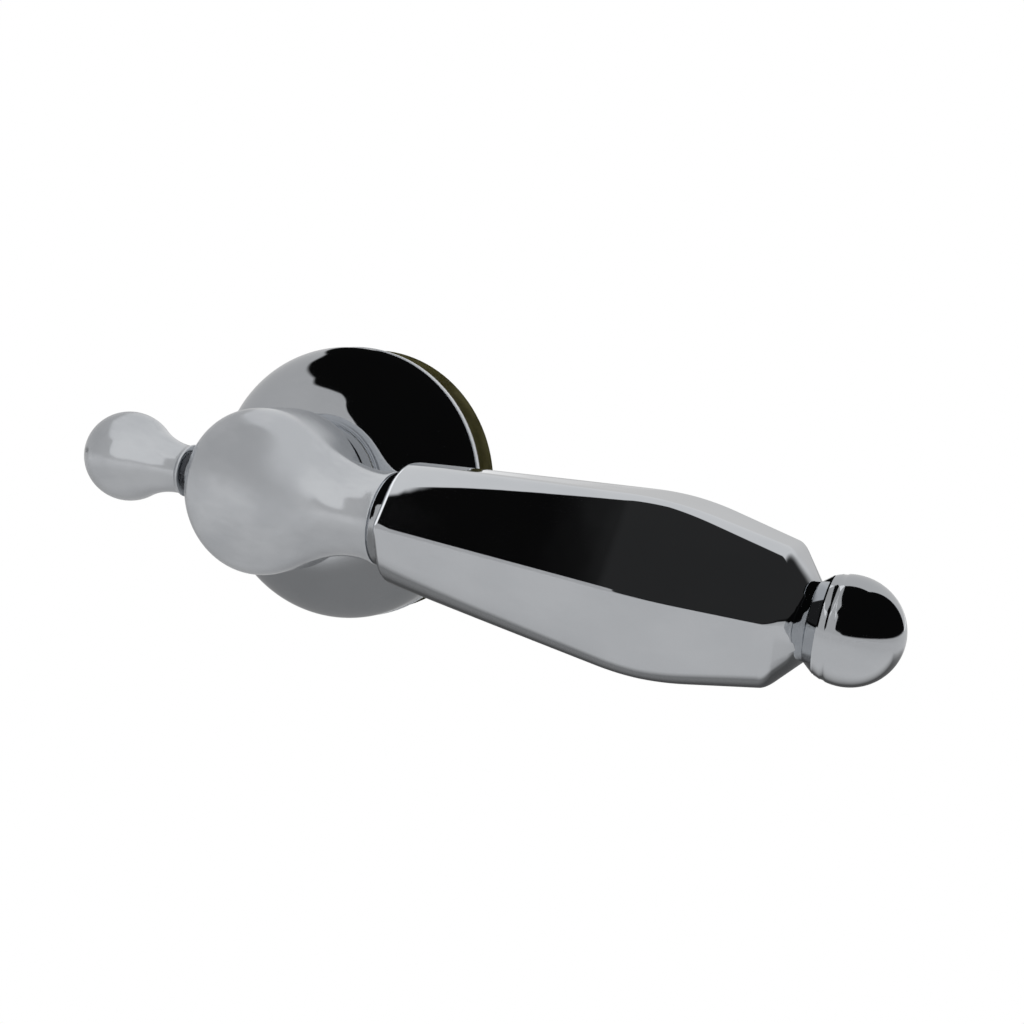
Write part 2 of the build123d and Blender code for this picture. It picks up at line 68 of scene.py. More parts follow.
class Shade:
    # a node tree and one of its outputs, so that shader maths reads as plain expressions
    def __init__(self, tree, socket=None):
        self.tree = tree
        self.socket = socket

    def node(self, kind, settings=None, values=None, output=0):
        made = self.tree.nodes.new(kind)
        for name, value in (settings or {}).items():
            if name == "stops":
                stops = made.color_ramp.elements
                stops.remove(stops[1])
                stops[0].position = value[0][0]
                stops[0].color = (*[value[0][1]] * 3, 1.0)
                for spot, level in value[1:]:
                    stops.new(spot).color = (level, level, level, 1.0)
                made.color_ramp.interpolation = "CARDINAL"
            else:
                setattr(made, name, value)
        for key, value in (values or {}).items():
            if isinstance(value, Shade):
                self.tree.links.new(value.socket, made.inputs[key])
            else:
                made.inputs[key].default_value = value
        return Shade(self.tree, made.outputs[output] if made.outputs else None)

    def maths(self, operation, *terms):
        return self.node("ShaderNodeMath", {"operation": operation}, dict(enumerate(terms)))

    def __add__(self, other):
        return self.maths("ADD", self, other)

    def __sub__(self, other):
        return self.maths("SUBTRACT", self, other)

    def __rsub__(self, other):
        return self.maths("SUBTRACT", other, self)

    def __mul__(self, other):
        return self.maths("MULTIPLY", self, other)

    def __truediv__(self, other):
        return self.maths("DIVIDE", self, other)

    def __neg__(self):
        return self.maths("MULTIPLY", self, -1.0)

    def __abs__(self):
        return self.maths("ABSOLUTE", self)

    def highest(self, other):
        return self.maths("MAXIMUM", self, other)

    def smooth(self, low, high, start=0.0, end=1.0):
        settings = {"interpolation_type": "SMOOTHSTEP"}
        values = {"Value": self, "From Min": low, "From Max": high, "To Min": start, "To Max": end}
        return self.node("ShaderNodeMapRange", settings, values)

    def tint(self, dark, light):
        settings = {"data_type": "RGBA"}
        values = {"Factor": self, 6: (*dark, 1.0), 7: (*light, 1.0)}
        return self.node("ShaderNodeMix", settings, values, 2)


# materials
def newMaterial(name, colour, metallic, roughness):
    made = bpy.data.materials.new(name)
    made.use_nodes = True
    made.diffuse_color = (*colour, 1.0)
    shader = made.node_tree.nodes["Principled BSDF"]
    shader.inputs["Base Color"].default_value = (*colour, 1.0)
    shader.inputs["Metallic"].default_value = metallic
    shader.inputs["Roughness"].default_value = roughness
    return made, Shade(made.node_tree), shader


def feed(shader, name, value):
    value.tree.links.new(value.socket, shader.inputs[name])


def place(nodes):
    return nodes.node("ShaderNodeTexCoord", output=3)


def noise(nodes, where, scale, detail, roughness):
    values = {"Vector": where, "Scale": scale, "Detail": detail, "Roughness": roughness}
    return nodes.node("ShaderNodeTexNoise", {}, values)


def stretched(nodes, where, scale):
    return nodes.node("ShaderNodeMapping", {}, {"Vector": where, "Scale": scale})


def bump(nodes, height, strength, distance):
    values = {"Height": height, "Strength": strength, "Distance": distance}
    return nodes.node("ShaderNodeBump", {}, values)


# noises are (scale, detail, roughness), and a span is where a noise turns from one tone to the other
chromeSpec = {
    "colour": (0.589, 0.606, 0.63),
    "worn": (0.56, 0.578, 0.602),
    "cast": (0.62, 0.637, 0.661),
    "castWorn": (0.53, 0.548, 0.573),
    # the shadow tones are painted shade: a near-black chrome for the side finial's stem, standing in for the
    # shade under the ball's base
    "shadow": (0.13, 0.135, 0.145),
    "shadowWorn": (0.07, 0.073, 0.08),
    "polished": (0.02, 0.055),
    "satin": (0.14, 0.24),
    "cloud": (90.0, 2.0, 0.4),
    "cloudShare": 0.82,
    "wipe": (700.0, 4.0, 0.6),
    "wipeShare": 0.18,
    "wipeStretch": (0.35, 1.0, 1.0),
    "span": (0.36, 0.64),
    "polishedWave": 0.05,
    "satinWave": 0.12,
    "waveDepth": 1.2,
}


def chromeMaterial(name, bright, worn, gloss, wave):
    c = chromeSpec
    made, nodes, shader = newMaterial(name, c[bright], 1.0, c[gloss][0])
    smoothest, dullest = c[gloss]
    where = place(nodes)
    cloud = noise(nodes, where, *c["cloud"])
    wiped = noise(nodes, stretched(nodes, where, c["wipeStretch"]), *c["wipe"])
    smudge = (cloud * c["cloudShare"] + wiped * c["wipeShare"]).smooth(*c["span"])
    feed(shader, "Base Color", smudge.tint(c[bright], c[worn]))
    feed(shader, "Roughness", smudge * (dullest - smoothest) + smoothest)
    feed(shader, "Normal", bump(nodes, cloud, c[wave], c["waveDepth"] * mm))
    return made


rubberSpec = {
    "roughness": 0.7,
    "patch": (160.0, 3.0, 0.6),
    "patchShare": 0.7,
    "speck": (2600.0, 2.0, 0.7),
    "speckShare": 0.3,
    "span": (0.35, 0.66),
    "smoothest": 0.58,
    "dulling": 0.22,
    "grain": 0.35,
    "grainDepth": 0.08,
    "shine": 0.07,
}


def rubberMaterial(name, dark, light):
    r = rubberSpec
    made, nodes, shader = newMaterial(name, light, 0.0, r["roughness"])
    where = place(nodes)
    patch = noise(nodes, where, *r["patch"])
    speck = noise(nodes, where, *r["speck"])
    mottle = (patch * r["patchShare"] + speck * r["speckShare"]).smooth(*r["span"])
    feed(shader, "Base Color", mottle.tint(dark, light))
    feed(shader, "Roughness", speck * r["dulling"] + r["smoothest"])
    feed(shader, "Normal", bump(nodes, speck, r["grain"], r["grainDepth"] * mm))
    shader.inputs["Specular IOR Level"].default_value = r["shine"]
    return made


turnedSpec = {
    "tarnish": (220.0, 4.0, 0.6),
    "span": (0.34, 0.68),
    "toolmark": (60.0, 2.0, 0.5),
    "mark": 0.25,
    "markDepth": 0.05,
}


def turnedMetal(name, dark, light, gloss, lines):
    t = turnedSpec
    smoothest, dullest = gloss
    made, nodes, shader = newMaterial(name, light, 1.0, smoothest)
    where = place(nodes)
    tarnish = noise(nodes, where, *t["tarnish"]).smooth(*t["span"])
    toolmark = noise(nodes, stretched(nodes, where, lines), *t["toolmark"])
    feed(shader, "Base Color", tarnish.tint(light, dark))
    feed(shader, "Roughness", tarnish * (dullest - smoothest) + smoothest)
    feed(shader, "Normal", bump(nodes, toolmark, t["mark"], t["markDepth"] * mm))
    return made


nylonSpec = {
    "dark": (0.66, 0.64, 0.58),
    "light": (0.8, 0.79, 0.75),
    "roughness": 0.42,
    "milk": (300.0, 3.0, 0.5),
    "span": (0.3, 0.7),
    "smoothest": 0.36,
    "dulling": 0.16,
    "glow": 0.15,
    "glowDepth": (0.4, 0.35, 0.3),
}


def nylonMaterial(name):
    n = nylonSpec
    made, nodes, shader = newMaterial(name, n["light"], 0.0, n["roughness"])
    milk = noise(nodes, place(nodes), *n["milk"]).smooth(*n["span"])
    feed(shader, "Base Color", milk.tint(n["light"], n["dark"]))
    feed(shader, "Roughness", milk * n["dulling"] + n["smoothest"])
    shader.inputs["Subsurface Weight"].default_value = n["glow"]
    shader.inputs["Subsurface Radius"].default_value = [depth * mm for depth in n["glowDepth"]]
    return made


polishedChrome = chromeMaterial("polished_chrome", "colour", "worn", "polished", "polishedWave")
satinChrome = chromeMaterial("satin_chrome", "cast", "castWorn", "satin", "satinWave")
# painted shade: chrome darkened to stand in for the shade on the side stem
shadowChrome = chromeMaterial("shadow_chrome", "shadow", "shadowWorn", "polished", "polishedWave")
oliveRubber = rubberMaterial("olive_rubber", (0.018, 0.0162, 0.0045), (0.04, 0.0365, 0.0125))
blackRubber = rubberMaterial("black_rubber", (0.012, 0.012, 0.012), (0.026, 0.026, 0.027))
turnedBrass = turnedMetal("turned_brass", (0.42, 0.26, 0.1), (0.72, 0.5, 0.2), (0.2, 0.36), (1.0, 30.0, 1.0))
brightSteel = turnedMetal("bright_steel", (0.42, 0.42, 0.43), (0.6, 0.6, 0.61), (0.22, 0.4), (1.0, 20.0, 1.0))
springSteel = turnedMetal(
    "spring_steel", (0.22, 0.22, 0.23), (0.42, 0.42, 0.43), (0.25, 0.4), (12.0, 1.0, 12.0)
)
darkSteel = turnedMetal("dark_steel", (0.05, 0.05, 0.055), (0.12, 0.12, 0.13), (0.3, 0.5), (8.0, 8.0, 8.0))
naturalNylon = nylonMaterial("natural_nylon")

nodeFinish = {
    "stop_pin": brightSteel,
    "return_spring": springSteel,
    "retaining_clip": brightSteel,
    "grub_screw": darkSteel,
    "tie_rod": brightSteel,
}
for nodeName, finish in nodeFinish.items():
    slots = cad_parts[nodeName].data.materials
    slots.clear()
    slots.append(finish)
print("materials made:", len(bpy.data.materials))

# modelling helpers, in mm and radians
mergeGap = 0.002
ringSlack = 0.01
cutSlack = 0.001
sideTurn = 60  # degrees between the sides of a hexagon
halfTurn = math.radians(sideTurn / 2)
quarter = math.pi / 2
spindleAxis = (0, 1, 0)
leverAxis = (1, 0, 0)
wallPoint = (0, 0, 0)
leverPoint = (0, leverY, 0)


def arcPoints(centre, radius, start, end, count):
    turn = (end - start) / count
    return [
        (centre[0] + radius * math.cos(start + turn * i), centre[1] + radius * math.sin(start + turn * i))
        for i in range(count + 1)
    ]


def spread(low, high, count):
    return [low + (high - low) * i / count for i in range(1, count + 1)]


def mendShape(bm):
    bmesh.ops.remove_doubles(bm, verts=bm.verts, dist=mergeGap * mm)
    bmesh.ops.recalc_face_normals(bm, faces=bm.faces)


def closeHoles(bm):
    bmesh.ops.holes_fill(bm, edges=[e for e in bm.edges if e.is_boundary], sides=0)


def spunShape(outline, axis, origin, steps):
    # outline points are (along the axis, out from it), in mm
    bm = bmesh.new()
    along = Vector(axis)
    out = Vector((0, 0, 1))
    points = [bm.verts.new((Vector(origin) + along * a + out * r) * mm) for a, r in outline]
    edges = [bm.edges.new(pair) for pair in zip(points, points[1:])]
    bmesh.ops.spin(
        bm,
        geom=points + edges,
        cent=Vector(origin) * mm,
        axis=along,
        angle=math.tau,
        steps=steps,
        use_merge=True,
    )
    mendShape(bm)
    return bm


def ringEdges(bm, axis, along, radius, origin):
    # the edges of one ring of a spun shape
    direction = Vector(axis)
    found = []
    for edge in bm.edges:
        offsets = [v.co / mm - Vector(origin) for v in edge.verts]
        heights = [o.dot(direction) for o in offsets]
        radii = [(o - direction * h).length for o, h in zip(offsets, heights)]
        level = all(abs(h - along) < ringSlack for h in heights)
        if level and all(abs(r - radius) < ringSlack for r in radii):
            found.append(edge)
    return found


def softenRing(bm, axis, along, radius, origin, width, segments):
    edges = ringEdges(bm, axis, along, radius, origin)
    bmesh.ops.bevel(
        bm,
        geom=edges,
        offset=width * mm,
        offset_type="OFFSET",
        affect="EDGES",
        segments=segments,
        profile=0.5,
        material=-1,
    )


def washerShape(low, high, bore, radius, rim, rimSteps, steps):
    # a flat ring about the spindle, with softened outer rims
    outline = [(low, bore), (low, radius), (high, radius), (high, bore), (low, bore)]
    bm = spunShape(outline, spindleAxis, wallPoint, steps)
    for y in (low, high):
        softenRing(bm, spindleAxis, y, radius, wallPoint, rim, rimSteps)
    return bm


def firstRing(bm, count):
    made = bmesh.ops.create_circle(bm, cap_ends=False, segments=count, radius=mm)["verts"]
    ring = sorted(made, key=lambda v: math.atan2(v.co.y, v.co.x) % math.tau)
    return ring, list({e for v in ring for e in v.link_edges})


def growRing(bm, ring, edges):
    # extrude a closed ring of edges, and return the new corners in the same order
    grown = bmesh.ops.extrude_edge_only(bm, edges=edges)["geom"]
    fresh = {v for v in grown if isinstance(v, bmesh.types.BMVert)}
    after = {}
    for v in ring:
        for e in v.link_edges:
            if e.other_vert(v) in fresh:
                after[v] = e.other_vert(v)
    newEdges = [e for e in grown if isinstance(e, bmesh.types.BMEdge) and all(v in fresh for v in e.verts)]
    return [after[v] for v in ring], newEdges


def finishPiece(bm, name, body, material, nodes, sharp=35.0):
    mesh = bpy.data.meshes.new(name)
    bm.to_mesh(mesh)
    bm.free()
    mesh.shade_smooth()
    mesh.set_sharp_from_angle(angle=math.radians(sharp))
    mesh.materials.append(material)
    piece = bpy.data.objects.new(name, mesh)
    scene.collection.objects.link(piece)
    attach(piece, body)
    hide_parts(*nodes)
    return piece


# escutcheon: dome with a thin lip at its rim, open behind
escutcheon = {
    "lip": 1.2,
    "lipStep": 0.15,
    "lipLean": 0.12,
    "lipRim": (0.1, 2),
    "lipEdge": (0.08, 3),
    "land": 10.9,
    "wall": 1.6,
    "hole": 8.1,
    "steps": 128,
    "shoulderSteps": 28,
    "innerSteps": 12,
}


def makeEscutcheon(e):
    rim = domeHigh.y
    top = domeLow.y
    radius = domeHigh.x
    flank = radius - e["lipStep"]
    bend = flank - e["land"]
    outerArc = arcPoints((0, 0), bend, 0, quarter, e["shoulderSteps"])
    innerArc = arcPoints((0, 0), bend - e["wall"], quarter, 0, e["innerSteps"])
    outline = [
        (rim, flank - e["wall"]),
        (rim, flank),
        *[(top + bend - a, e["land"] + r) for r, a in outerArc],
        (top, e["hole"]),
        (top + e["wall"], e["hole"]),
        *[(top + bend - a, e["land"] + r) for r, a in innerArc],
        (rim, flank - e["wall"]),
    ]
    bm = spunShape(outline, spindleAxis, wallPoint, e["steps"])
    finishPiece(bm, "escutcheon_dome", "mounting", polishedChrome, ["escutcheon"])
    lipFoot = flank - e["wall"] / 2
    lipRadius = radius - e["lipLean"]
    lipFront = rim - e["lip"]
    lip = [(rim, lipFoot), (rim, lipRadius), (lipFront, radius), (lipFront, lipFoot), (rim, lipFoot)]
    bm = spunShape(lip, spindleAxis, wallPoint, e["steps"])
    softenRing(bm, spindleAxis, rim, lipRadius, wallPoint, *e["lipRim"])
    softenRing(bm, spindleAxis, lipFront, radius, wallPoint, *e["lipEdge"])
    finishPiece(bm, "escutcheon_lip", "mounting", satinChrome, ["escutcheon"])


makeEscutcheon(escutcheon)

# gasket: moulded rubber ring with softened rims, pressed out a little under the dome's rim
gasket = {"bore": 8.1, "swell": 0.08, "corner": 0.35, "cornerSteps": 5, "steps": 112}


def makeGasket(g):
    radius = gasketHigh.x + g["swell"]
    rim = (g["corner"], g["cornerSteps"])
    bm = washerShape(gasketLow.y, gasketHigh.y, g["bore"], radius, *rim, g["steps"])
    finishPiece(bm, "rubber_gasket", "mounting", oliveRubber, ["gasket"])


makeGasket(gasket)
print("escutcheon and gasket made")

# side finial: pear-shaped ball on a beaded stem
sideFinial = {
    "ball": 6.95,
    "ballSteps": 40,
    "neck": 3.75,
    "neckX": -15.5,
    "neckSteps": 14,
    "base": 4.05,
    "baseX": -14.65,
    "baseEdge": 0.35,
    "baseRim": (0.1, 2),
    "flareSteps": 6,
    "stem": 3.1,
    "stemLap": 0.05,
    "thread": 5.0,
    "bead": 0.35,
    "beadX": -13.15,
    "beadSteps": 8,
    "steps": 96,
}


def makeSideFinial(s):
    ballX = sideLow.x + s["ball"]
    span = s["neckX"] - ballX
    curve = (span**2 + s["neck"] ** 2 - s["ball"] ** 2) / (2 * (s["ball"] - s["neck"]))
    leave = math.atan2(s["neck"] + curve, span)
    ball = arcPoints((ballX, 0), s["ball"], math.pi, leave, s["ballSteps"])
    waistCentre = (s["neckX"], s["neck"] + curve)
    waist = arcPoints(waistCentre, curve, leave + math.pi, math.pi * 1.5, s["neckSteps"])
    flareRise = s["base"] - s["neck"]
    flareRun = s["baseX"] - s["neckX"]
    flareRadius = (flareRise**2 + flareRun**2) / (2 * flareRise)
    flareTurn = math.asin(flareRun / flareRadius)
    flareCentre = (s["neckX"], s["neck"] + flareRadius)
    flare = arcPoints(flareCentre, flareRadius, -quarter, flareTurn - quarter, s["flareSteps"])
    baseEnd = s["baseX"] + s["baseEdge"]
    outline = [*ball, *waist[1:], *flare[1:], (baseEnd, s["base"]), (baseEnd, 0)]
    bm = spunShape(outline, leverAxis, leverPoint, s["steps"])
    softenRing(bm, leverAxis, baseEnd, s["base"], leverPoint, *s["baseRim"])
    finishPiece(bm, "side_ball", "lever", satinChrome, ["side_finial"])
    # the stem, set back under the base, its chrome painted dark as shade, and the bright bead round it
    stemStart = baseEnd - s["stemLap"]
    stemEnd = sideHigh.x - s["thread"]
    outline = [(stemStart, 0), (stemStart, s["stem"]), (stemEnd, s["stem"]), (stemEnd, 0)]
    bm = spunShape(outline, leverAxis, leverPoint, s["steps"])
    finishPiece(bm, "side_stem", "lever", shadowChrome, ["side_finial"])
    bead = arcPoints((s["beadX"], s["stem"]), s["bead"], math.pi, 0, s["beadSteps"])
    beadFoot = s["stem"] - s["bead"] / 2
    ring = [(s["beadX"] - s["bead"], beadFoot), *bead, (s["beadX"] + s["bead"], beadFoot)]
    bm = spunShape([*ring, ring[0]], leverAxis, leverPoint, s["steps"])
    finishPiece(bm, "stem_bead", "lever", polishedChrome, ["side_finial"])


makeSideFinial(sideFinial)

# end finial: ball on a flared collar, with a fine groove and a shallow cove
endFinial = {
    "ball": 7.3,
    "ballSteps": 40,
    "collar": 5.35,
    "collarLength": 1.5,
    "collarRim": (0.12, 2),
    "groove": 0.25,
    "cove": 0.8,
    "coveSteps": 8,
    "coveShape": 0.7,
    "depth": 0.09,
    "ring": 0.8,
    "steps": 112,
}


def makeEndFinial(e):
    startX = endLow.x
    ballX = endHigh.x - e["ball"]
    ringX = startX + e["collarLength"]

    def surface(x):
        return math.sqrt(e["ball"] ** 2 - (ballX - x) ** 2)

    outline = [(startX, 0), (startX, e["collar"]), (ringX, surface(ringX))]
    grooveFloor = surface(ringX + e["groove"] / 2) - e["depth"]
    grooveEnd = ringX + e["groove"]
    outline += [(ringX, grooveFloor), (grooveEnd, grooveFloor), (grooveEnd, 0)]
    bm = spunShape(outline, leverAxis, leverPoint, e["steps"])
    softenRing(bm, leverAxis, startX, e["collar"], leverPoint, *e["collarRim"])
    finishPiece(bm, "end_collar", "lever", polishedChrome, ["end_finial"])
    coveX = grooveEnd + e["ring"]
    outline = [(grooveEnd, 0), (grooveEnd, surface(grooveEnd)), (coveX, surface(coveX))]
    for share in spread(0, 1, e["coveSteps"]):  # a hollow between the ring and the ball
        hollow = e["depth"] * math.sin(math.pi * share) ** e["coveShape"]
        outline.append((coveX + e["cove"] * share, surface(coveX + e["cove"] * share) - hollow))
    begin = math.acos((outline[-1][0] - ballX) / e["ball"])
    outline += arcPoints((ballX, 0), e["ball"], begin, 0, e["ballSteps"])[1:]
    bm = spunShape(outline, leverAxis, leverPoint, e["steps"])
    finishPiece(bm, "end_ball", "lever", polishedChrome, ["end_finial"])


makeEndFinial(endFinial)
print("finials made")

# grip: nearly round at the hub, six-sided where it swells
grip = {
    "rise": 40.4,
    "fall": 16.1,
    "start": 10.2,
    "apex": 14.4,
    "shoulder": 10.88,
    "nose": 6.2,
    "blend": 6.0,
    "startCorner": 8.85,
    "corner": {"upper": 1.7, "lower": 4.2},
    "melt": {"upper": 0.36, "lower": 0.5},
    "shoulderCorner": {"upper": 3.4, "lower": 5.0},
    "edge": 1.0,
    "startEdge": 2.2,
    "startSpan": 3.5,
    "noseCorner": 5.2,
    "endRound": 0.9,
    "endSteps": 6,
    "leastBend": 0.3,
    "shoulderBlend": 0.8,
    "bore": 5.0,
    "boreCorner": 0.86,
    "cornerSteps": 6,
    "flatSteps": 4,
    "taperSteps": 16,
    "swellSteps": 12,
    "fallSteps": 4,
    "shoulderSteps": 8,
    "noseSteps": 2,
    "sharp": 60.0,
}


def gripPlaces(g):
    apexX = gripLow.x + g["rise"]
    return apexX, apexX + g["fall"], gripHigh.x


def gripRadius(g, x):
    apexX, shoulderX, noseX = gripPlaces(g)
    rise = (g["apex"] - g["start"]) / g["rise"]
    fall = (g["shoulder"] - g["apex"]) / g["fall"]
    nose = (g["nose"] - g["shoulder"]) / (noseX - shoulderX)
    radius = g["apex"] + (rise if x < apexX else fall) * (x - apexX)
    if x > shoulderX:
        radius = g["shoulder"] + nose * (x - shoulderX)
    nearApex = max(0, g["blend"] - abs(x - apexX))
    nearShoulder = max(0, g["shoulderBlend"] - abs(x - shoulderX))
    radius -= (rise - fall) * nearApex**2 / (4 * g["blend"])
    return radius - (fall - nose) * nearShoulder**2 / (4 * g["shoulderBlend"])


def gripCorner(g, x, part):
    # the corners tighten towards the swell and melt away at both ends; the lower ones are rubbed rounder
    apexX, shoulderX, noseX = gripPlaces(g)
    corner = g["corner"][part]
    shoulder = g["shoulderCorner"][part]
    if x < apexX:
        share = max(0, (x - gripLow.x) / g["rise"]) ** g["melt"][part]
        return g["startCorner"] + (corner - g["startCorner"]) * share
    if x < shoulderX:
        return corner + (shoulder - corner) * (x - apexX) / g["fall"]
    return shoulder + (g["noseCorner"] - shoulder) * (x - shoulderX) / (noseX - shoulderX)


def gripEdge(g, x):
    # the front and back edges are round at both ends and crisp between
    shoulderX, noseX = gripPlaces(g)[1:]
    share = max(0, (x - shoulderX + g["shoulderBlend"]) / (noseX - shoulderX + g["shoulderBlend"]))
    early = max(0, 1 - (x - gripLow.x) / g["startSpan"])
    return g["edge"] + (g["noseCorner"] - g["edge"]) * share + (g["startEdge"] - g["edge"]) * early**2


def hexagonPoints(g, radius, upper, lower, edge):
    # a six-sided section with rounded corners, as (Y, Z) offsets from the lever's line
    arcs = []
    bends = [edge, upper, upper, edge, lower, lower]
    for side, bend in enumerate(bends):
        middle = math.radians(sideTurn * side)
        reach = radius - bend / math.cos(halfTurn)
        centre = (reach * math.cos(middle), reach * math.sin(middle))
        arcs.append(arcPoints(centre, bend, middle - halfTurn, middle + halfTurn, g["cornerSteps"]))
    points = []
    for arc, following in zip(arcs, arcs[1:] + arcs[:1]):
        points += arc
        for i in range(1, g["flatSteps"]):
            share = i / g["flatSteps"]
            points.append(tuple(Vector(arc[-1]).lerp(Vector(following[0]), share)))
    return points


def gripLoop(g, x, inset=0.0):
    # the section at x, drawn in where the end is rounded
    radius = gripRadius(g, x) - inset / math.cos(halfTurn)
    bends = [gripCorner(g, x, "upper"), gripCorner(g, x, "lower"), gripEdge(g, x)]
    return x, hexagonPoints(g, radius, *[max(bend - inset, g["leastBend"]) for bend in bends])


def loftLoops(bm, loops):
    # loops are (x, [(Y, Z) offsets]); a circle takes the first one's shape and is extruded to the others
    ring, edges = firstRing(bm, len(loops[0][1]))
    for i, (x, points) in enumerate(loops):
        if i:
            ring, edges = growRing(bm, ring, edges)
        for v, (dy, dz) in zip(ring, points):
            v.co = Vector((x, leverY + dy, dz)) * mm


def makeGrip(g):
    startX = gripLow.x
    apexX, shoulderX, noseX = gripPlaces(g)
    boreLoop = hexagonPoints(g, g["bore"], *[g["bore"] * g["boreCorner"]] * 3)
    loops = [(startX, boreLoop)]
    for i in range(g["endSteps"] + 1):
        turn = quarter * i / g["endSteps"]
        x = startX + g["endRound"] * (1 - math.cos(turn))
        loops.append(gripLoop(g, x, g["endRound"] * (1 - math.sin(turn))))
    taperEnd = apexX - g["blend"]
    swellEnd = apexX + g["blend"]
    fallEnd = shoulderX - g["shoulderBlend"]
    noseStart = shoulderX + g["shoulderBlend"]
    stations = spread(startX + g["endRound"], taperEnd, g["taperSteps"])
    stations += spread(taperEnd, swellEnd, g["swellSteps"])
    stations += spread(swellEnd, fallEnd, g["fallSteps"])
    stations += spread(fallEnd, noseStart, g["shoulderSteps"])
    stations += spread(noseStart, noseX, g["noseSteps"])
    loops += [gripLoop(g, x) for x in stations]
    loops.append((noseX, boreLoop))
    bm = bmesh.new()
    loftLoops(bm, loops)
    closeHoles(bm)
    bmesh.ops.recalc_face_normals(bm, faces=bm.faces)
    piece = finishPiece(bm, "six_sided_grip", "lever", polishedChrome, ["grip"], g["sharp"])
    weighted = piece.modifiers.new("even_flats", "WEIGHTED_NORMAL")
    weighted.keep_sharp = True


makeGrip(grip)
print("grip made")

# hub: a cushion about the spindle, drawn out into a waisted neck
hub = {
    "radius": 12.46,
    "band": 7.0,
    "edge": 4.0,
    "edgeSteps": 4,
    "tilt": 15.0,
    "faceSteps": 5,
    "flank": [(-1.9, 0.0), (1.0, 0.0), (4.6, 0.0), (6.5, 0.15), (7.6, 0.75)],
    "boss": 10.4,
    "bossRoot": [(8.05, 0.2), (8.3, 0.0)],
    "bossRim": [(0.25, 0.0), (0.02, 0.05), (0.0, 0.25)],
    "recess": 9.55,
    "recessRim": [(0.0, 0.1), (0.0, 0.0), (0.2, 0.0)],
    "recessDepth": 10.3,
    "recessDraft": 0.1,
    "spindleHole": 4.05,
    "around": 32,
    "neckSpan": 4,
    "neckOpening": (-6.6, 6.0),
    "sweep": (0.34, 0.67),
    "waistX": 16.2,
    "waist": 6.6,
    "rootDepth": 7.2,
    "flareRun": 1.8,
    "flareRise": 0.1,
    "endX": 19.8,
    "end": 7.0,
    "endRim": [(0.5, 0.05), (0.12, 0.0), (0.0, 0.1)],
    "groove": 6.5,
    "grooveLap": 0.3,
    "smoothRounds": 2,
    "smoothShare": 0.4,
    "levels": 3,
    "sharp": 180.0,
}


def hubOutline(h):
    # (along Y from the lever's line, out from the spindle axis)
    tilt = math.radians(h["tilt"])
    edgeCentre = (-h["band"] / 2, h["radius"] - h["edge"])
    back = hubHigh.y - leverY
    faceEdge = (edgeCentre[0] - h["edge"] * math.cos(tilt), edgeCentre[1] + h["edge"] * math.sin(tilt))
    faceRadius = faceEdge[1] / math.sin(tilt)
    faceCentre = (faceEdge[0] + faceRadius * math.cos(tilt), 0)
    face = arcPoints(faceCentre, faceRadius, math.pi, math.pi - tilt, h["faceSteps"])
    edge = arcPoints(edgeCentre, h["edge"], math.pi - tilt, quarter, h["edgeSteps"])
    return [
        *face,
        *edge[1:],
        *[(y, h["radius"] - drop) for y, drop in h["flank"]],
        *[(y, h["boss"] + rise) for y, rise in h["bossRoot"]],
        *[(back - inset, h["boss"] - drop) for inset, drop in h["bossRim"]],
        *[(back - inset, h["recess"] + rise) for inset, rise in h["recessRim"]],
        (back - h["recessDepth"], h["recess"] - h["recessDraft"]),
        (back - h["recessDepth"], h["spindleHole"]),
    ]


def openNeck(bm, h):
    # open the +X side of the cushion, and return the opening's corners round the lever's line, with its edges
    reach = math.pi * 2 / h["around"] * h["neckSpan"]
    front, back = h["neckOpening"]
    opened = []
    for face in bm.faces:
        centre = face.calc_center_median() / mm
        angle = math.atan2(centre.z, centre.x)
        outside = math.hypot(centre.x, centre.z) > h["boss"]
        if abs(angle) < reach and outside and front < centre.y - leverY < back:
            opened.append(face)
    nearEdges = {e for f in opened for e in f.edges}
    rimEdges = [e for e in nearEdges if sum(f in opened for f in e.link_faces) == 1]
    bmesh.ops.delete(bm, geom=opened, context="FACES")
    edges = [e for e in rimEdges if e.is_valid]
    corners = list({v for e in edges for v in e.verts})
    corners.sort(key=lambda v: math.atan2(v.co.z / mm, v.co.y / mm - leverY))
    starts = [v.co / mm for v in corners]
    leans = [abs(math.atan2(start.z, start.y - leverY)) for start in starts]
    first = leans.index(min(leans))
    return corners[first:] + corners[:first], edges


